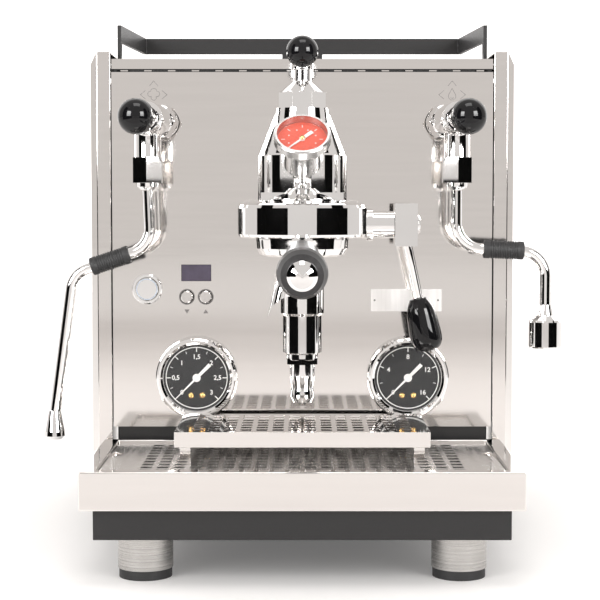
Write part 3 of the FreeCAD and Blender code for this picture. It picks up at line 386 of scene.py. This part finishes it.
world = bpy.data.worlds.new("studio")
world.use_nodes = True
world.node_tree.nodes["Background"].inputs["Color"].default_value = (0.80, 0.765, 0.74, 1)
world.node_tree.nodes["Background"].inputs["Strength"].default_value = 0.92
bpy.context.scene.world = world


def soft_light(name, azimuth, height, distance, width, tall, power):
    """An area light that faces the machine's middle; azimuth 0 is straight in front."""
    data = bpy.data.lights.new(name, "AREA")
    data.shape = "RECTANGLE"
    data.size, data.size_y = width, tall
    data.energy = power
    data.color = WARM_WHITE
    light = bpy.data.objects.new(name, data)
    angle = math.radians(azimuth)
    light.location = (distance * math.sin(angle), MIDDLE_Y - distance * math.cos(angle), height)
    aim = AIM - light.location
    light.rotation_euler = aim.to_track_quat("-Z", "Y").to_euler()
    bpy.context.scene.collection.objects.link(light)


def only_reflected(thing):
    """Let a piece show in reflections, but neither to the camera nor in the light on other things."""
    thing.visible_camera = False
    thing.visible_shadow = False
    thing.visible_diffuse = False


def card(name, azimuth, distance, width, low, high, material):
    """A flat studio card standing round the machine."""
    angle = math.radians(azimuth)
    centre = Vector((distance * math.sin(angle), MIDDLE_Y - distance * math.cos(angle), 0))
    side = Vector((math.cos(angle), math.sin(angle), 0)) * width / 2
    corners = [centre - side, centre + side]
    verts = [corner + Vector((0, 0, z)) for z in (low, high) for corner in corners]
    mesh = bpy.data.meshes.new(name)
    mesh.from_pydata([tuple(v) for v in verts], [], [(0, 1, 3, 2)])
    mesh.materials.append(material)
    thing = bpy.data.objects.new(name, mesh)
    bpy.context.scene.collection.objects.link(thing)
    only_reflected(thing)


def glowing(name, colour, strength):
    """A matt stage surface that gives off some light of its own."""
    material = bpy.data.materials.new(name)
    material.use_nodes = True
    shader = material.node_tree.nodes["Principled BSDF"]
    shader.inputs["Base Color"].default_value = (*colour, 1)
    shader.inputs["Emission Color"].default_value = (*colour, 1)
    shader.inputs["Emission Strength"].default_value = strength
    shader.inputs["Roughness"].default_value = 0.9
    return material


def stage_sheet(name, corners, material):
    """A flat four-cornered stage piece."""
    mesh = bpy.data.meshes.new(name)
    mesh.from_pydata(corners, [], [(0, 1, 2, 3)])
    mesh.materials.append(material)
    thing = bpy.data.objects.new(name, mesh)
    bpy.context.scene.collection.objects.link(thing)
    return thing


LAMP = glowing("lamp_white", (1.0, 1.0, 1.0), 12.0)
for side_name, sign in (("left", -1), ("right", 1)):
    soft_light(f"softbox_{side_name}", LAMP_AZIMUTH * sign, 0.70, 1.4, 0.6, 0.7, 7.0)
    card(f"lamp_face_{side_name}", LAMP_AZIMUTH * sign, 1.42, 0.6, 0.35, 1.05, LAMP)
    card(f"flag_{side_name}", 72 * sign, 1.25, 0.55, 0.0, 1.5, BLACK_CARD)
    card(f"shade_{side_name}", 47 * sign, 1.2, 1.0, 0.0, 0.31, BLACK_CARD)
soft_light("overhead", 8, 1.75, 0.35, 0.8, 0.6, 5.5)

FLOOR = glowing("floor_pale", (0.92, 0.915, 0.91), 0.12)
stage_sheet("floor", [(-6, -6, 0), (6, -6, 0), (6, 6, 0), (-6, 6, 0)], FLOOR)
FRONT_CARD = glowing("front_card_grey", (0.68, 0.66, 0.65), 0.1)
FRONT_CORNERS = [(-2, -2.5, 0.002), (2, -2.5, 0.002), (2, -0.42, 0.002), (-2, -0.42, 0.002)]
only_reflected(stage_sheet("front_card", FRONT_CORNERS, FRONT_CARD))
BACKDROP = glowing("backdrop_pale", (1.0, 1.0, 1.0), 0.75)
stage_sheet("backdrop", [(-6, 3.5, -0.2), (6, 3.5, -0.2), (6, 3.5, 6), (-6, 3.5, 6)], BACKDROP)


# ---------------------------------------------------------------- gauges
DIAL_START = -135  # degrees clockwise from straight up
DIAL_SWEEP = 270
THERMOMETER_RECESS = 0.00525  # from the middle of the glass down to the dial


def gauge(name, numbers):
    """The printed face of a pressure gauge: black dial, white ring, ticks, numbers, brass rivets."""
    low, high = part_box(f"{name}_case")
    centre = ((low.x + high.x) / 2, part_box(f"{name}_pointer")[1].y + 0.0002, (low.z + high.z) / 2)
    matrix = face_matrix(centre, (0, 0, 1), (0, -1, 0))
    body, slot = "root", "pointer_white"
    face = [circle(26.8)]
    printed(f"{name}_dial", matrix, DIAL_BLACK, body, face, low=-0.1, high=0.02)
    step = DIAL_SWEEP / (len(numbers) - 1)
    majors = [DIAL_START + DIAL_SWEEP * index / (len(numbers) - 1) for index in range(len(numbers))]
    ticks = [bar(polar(24.3, angle), polar(20.8, angle), 0.75) for angle in majors]
    minors = [angle + step / 2 for angle in majors[:-1]]
    ticks += [bar(polar(22.8, angle), polar(20.6, angle), 0.4) for angle in minors]
    ring = (circle(24.9), circle(24.2))
    printed(f"{name}_marks", matrix, PRINT_WHITE, body, ticks, [ring], 0.02, 0.1)
    entries = [(text, *polar(16.8, angle)) for text, angle in zip(numbers, majors)]
    numerals(f"{name}_numbers", entries, matrix, 5.2, PRINT_WHITE, body)
    for index, x in enumerate((-4.6, 4.6)):
        at = matrix @ Matrix.Translation((x * MM, -14.2 * MM, 0))
        profile = smooth_profile([(0, 1.3), (1.0, 1.15), (1.8, 0.5), (2.1, 0), (0, -0.05)])
        lathe(f"{name}_rivet_{index}", profile, at, BRASS, body)


gauge("boiler_gauge", ["0", "0,5", "1", "1,5", "2", "2,5", "3"])
gauge("pump_gauge", ["0", "4", "8", "12", "16"])


def thermometer():
    """The red dial, its marks, and the hub that turns with the pointer."""
    up, out = Vector((0, 1, 1)), Vector((0, -1, 1))
    centre = middle("thermometer_glass") - out.normalized() * THERMOMETER_RECESS
    matrix = face_matrix(centre, up, out)
    face = [circle(18.3)]
    printed("thermometer_dial", matrix, DIAL_RED, "root", face, low=0.0, high=0.15)
    ticks = [bar(polar(15.2, angle), polar(12.6, angle), 0.5) for angle in range(-135, 136, 45)]
    dots = [circle(0.55, 20, polar(10.6, angle)) for angle in range(-112, 136, 45)]
    marks = ticks + dots
    printed("thermometer_marks", matrix, PRINT_WHITE, "root", marks, low=0.15, high=0.22)
    points = [(0, 3.0), (1.2, 2.8), (1.9, 2.3), (1.9, 2.3), (1.9, 1.0), (1.9, 1.0), (0, 1.0)]
    profile = smooth_profile(points)
    lathe("thermometer_hub", profile, matrix, BRASS, "thermometer_needle")


thermometer()


# ---------------------------------------------------------------- panel marks
panel_low, panel_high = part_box("front_panel")
PANEL_FACE = panel_low.y
ICON_OUTWARD = 0.0055
ICON_DOWN = 0.018
STROKE = 0.45  # mm


def on_panel(x, z):
    """A face frame on the front panel, with x and z in metres."""
    return face_matrix((x, PANEL_FACE, z), (0, 0, 1), (0, -1, 0))


def outline_of(points):
    """Strokes that join the points of an open line."""
    return [bar(start, end, STROKE) for start, end in zip(points, points[1:])]


def chevron(x, y, turn, size=3.4):
    """A small open arrowhead that points along an angle in degrees."""
    angle = math.radians(turn)

    def spin(px, py):
        along = px * math.cos(angle) - py * math.sin(angle)
        across = px * math.sin(angle) + py * math.cos(angle)
        return (x + along, y + across)

    return outline_of([spin(-size * 0.6, size), spin(size * 0.6, 0), spin(-size * 0.6, -size)])


def arc(centre, radius, start, end, count=10):
    """Points along part of a circle, between two angles in degrees."""
    x, y = centre
    angles = [math.radians(start + (end - start) * step / count) for step in range(count + 1)]
    return [(x + radius * math.cos(angle), y + radius * math.sin(angle)) for angle in angles]


def valve_icon(name, side, shape):
    """The printed sign over a valve, a little outside its wand."""
    low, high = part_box(f"{name}_pipe")
    x = side * (abs(low.x if side > 0 else high.x) + ICON_OUTWARD)
    z = panel_high.z - ICON_DOWN
    marks = chevron(-8.6, 0, 180) + chevron(8.6, 0, 0) + chevron(0, 9.0, 90) + shape
    at = on_panel(x, z)
    printed(f"{name}_icon", at, PRINT_GREY, "root", marks, low=0.0, high=0.06)


lobes = arc((-2.6, 0.6), 2.2, 80, 290) + arc((0, -2.2), 2.2, 190, 350)
lobes += arc((2.6, 0.6), 2.2, -110, 100)
cloud = outline_of(lobes) + outline_of(arc((0, 2.4), 2.6, 20, 160))
drop = outline_of(arc((0, -1.2), 3.0, 150, 390) + [(0, 5.0), (-2.6, 0.3)])
drop += outline_of(arc((0, -1.6), 1.3, 200, 340))
valve_icon("steam", -1, cloud)
valve_icon("water", 1, drop)

MARK_DOWN = 0.0118
for button, flip in (("button_down", -1), ("button_up", 1)):
    at = middle(button)
    triangle = [(-2.1, -1.6 * flip), (2.1, -1.6 * flip), (0, 1.8 * flip)]
    mark_at = on_panel(at.x, at.z - MARK_DOWN)
    printed(f"{button}_mark", mark_at, PRINT_GREY, "root", [triangle], high=0.06)
    ring = (circle(6.4), circle(5.5))
    ring_at = on_panel(at.x, at.z)
    printed(f"{button}_ring", ring_at, PRINT_GREY, "root", [], [ring], -0.3, 0.15)

switch = middle("power_button")
ring = (circle(8.6), circle(7.7))
switch_face = face_matrix((switch.x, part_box("power_button")[0].y, switch.z), (0, 0, 1), (0, -1, 0))
printed("power_button_ring", switch_face, LAMP_RING, "power_key", [], [ring], -0.2, 0.06)

PLATE_X = 0.0837
PLATE_DOWN = 0.009  # below the switch's middle
plate_at = on_panel(PLATE_X, switch.z - PLATE_DOWN)
plate = rectangle(0, 28.5, 9)
PLATE = grainy("plate_satin", (0.9, 0.885, 0.87), 0.85, 0.42, (500, 30, 30), 0.05, 0.04)
printed("blank_plate", plate_at, PLATE, "root", [plate], high=0.8)
dots = [circle(0.8, 24, (x, 0)) for x in (-25.5, 25.5)]
printed("blank_plate_pins", plate_at, PRINT_GREY, "root", dots, low=0.8, high=0.95)


# ---------------------------------------------------------------- turned handles and grips
GRIP_RADIUS = 7.0  # mm, as is all of the grip
GRIP_LENGTH = 31.0
GRIP_BORE = 4.4
GRIP_GROOVE = 6.35
GRIP_END = 4.5  # plain at each end
GRIP_RIBS = 12
HANDLE_TOP_INWARD = 0.0084  # from the box's low X to the middle of the handle's top
HANDLE_TOP_DOWN = 0.00133
HANDLE_LEAN = 12  # degrees out from straight down


def along_matrix(start, end):
    """A frame at one end of a handle whose Z runs to the other."""
    direction = (Vector(end) - Vector(start)).normalized()
    return Matrix.Translation(Vector(start)) @ direction.to_track_quat("Z", "Y").to_matrix().to_4x4()


def grip(name, side):
    """A rubber sleeve with fine ribs, in place of the plain CAD sleeve."""
    low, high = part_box(f"{name}_grip")
    radius, length = GRIP_RADIUS, GRIP_LENGTH
    extent_x, extent_z = (high.x - low.x) / MM, (high.z - low.z) / MM
    divisor = length**2 - 4 * radius**2
    across = (length * extent_x - 2 * radius * extent_z) / divisor
    down = (length * extent_z - 2 * radius * extent_x) / divisor
    direction = Vector((side * across, 0, -down)).normalized()
    centre = (low + high) / 2
    half = direction * length / 2 * MM
    matrix = along_matrix(centre - half, centre + half)
    points = [(GRIP_BORE, 0.0), (radius - 0.8, 0.0), (radius - 0.2, 0.3), (radius, 1.0)]
    points.append((radius, GRIP_END))
    pitch = (length - 2 * GRIP_END) / GRIP_RIBS
    for rib in range(GRIP_RIBS):
        base = GRIP_END + rib * pitch
        points.append((radius, base + pitch * 0.15))
        points.append((GRIP_GROOVE, base + pitch * 0.35))
        points.append((GRIP_GROOVE, base + pitch * 0.6))
        points.append((radius, base + pitch * 0.8))
    points += [(radius, length - 1.0), (radius - 0.2, length - 0.3), (radius - 0.8, length)]
    points += [(GRIP_BORE, length), (GRIP_BORE, 0.0)]
    rubber = MATERIALS["grip_rubber"]
    piece, replaced = f"{name}_ribbed_grip", [f"{name}_grip"]
    lathe(piece, points, matrix, rubber, f"{name}_wand", replaced)


grip("steam", -1)
grip("water", 1)


def lever_handle():
    """The brew lever's drop-shaped handle, turned more finely than its CAD solid."""
    low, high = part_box("brew_lever_handle")
    top = Vector((low.x + HANDLE_TOP_INWARD, (low.y + high.y) / 2, high.z - HANDLE_TOP_DOWN))
    lean = math.radians(HANDLE_LEAN)
    matrix = along_matrix(top, top + Vector((math.sin(lean), 0, -math.cos(lean))))
    points = [(0, 0.0), (0, 0.0), (6.4, 0.0), (6.4, 0.0), (7.2, 1.0), (10.1, 7.1), (11.6, 15.1)]
    points += [(12.4, 26.0), (12.4, 31.9), (11.6, 36.1), (9.6, 39.3), (6.2, 41.2), (0, 42.0), (0, 42.0)]
    profile = smooth_profile(points)
    replaced = "brew_lever_handle"
    slot = SLOT_OF[replaced]
    lathe("lever_drop_handle", profile, matrix, MATERIALS[slot], "brew_lever", [replaced])


lever_handle()


# ---------------------------------------------------------------- vent slot under the top tray
VENT_DEPTH = 0.004  # behind the panel's face
LOUVRES = 16
LOUVRE_PITCH = 19  # mm


def vent():
    """The vent gap over the front panel, its shade painted as a near-black sheet, and the bright bits
    in it.
    """
    top_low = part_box("top_tray")[0]
    centre = (0, PANEL_FACE + VENT_DEPTH, (panel_high.z + top_low.z) / 2)
    strip = face_matrix(centre, (0, 0, 1), (0, -1, 0))
    half = panel_high.x / MM - 1
    tall = (top_low.z - panel_high.z) / MM
    shadow = rectangle(0, half, tall)
    # Painted shade: this near-black sheet stands in for the shade in the gap under the top tray.
    printed("vent_shadow", strip, PAINTED_GAP_SHADE, "root", [shadow], low=-0.6, high=0)
    places = [(index - (LOUVRES - 1) / 2) * LOUVRE_PITCH for index in range(LOUVRES)]
    bits = [rectangle(x, 3, 0.5) for x in places]
    steel = MATERIALS["polished_steel"]
    printed("vent_louvres", strip, steel, "root", bits, low=0, high=0.5)


vent()
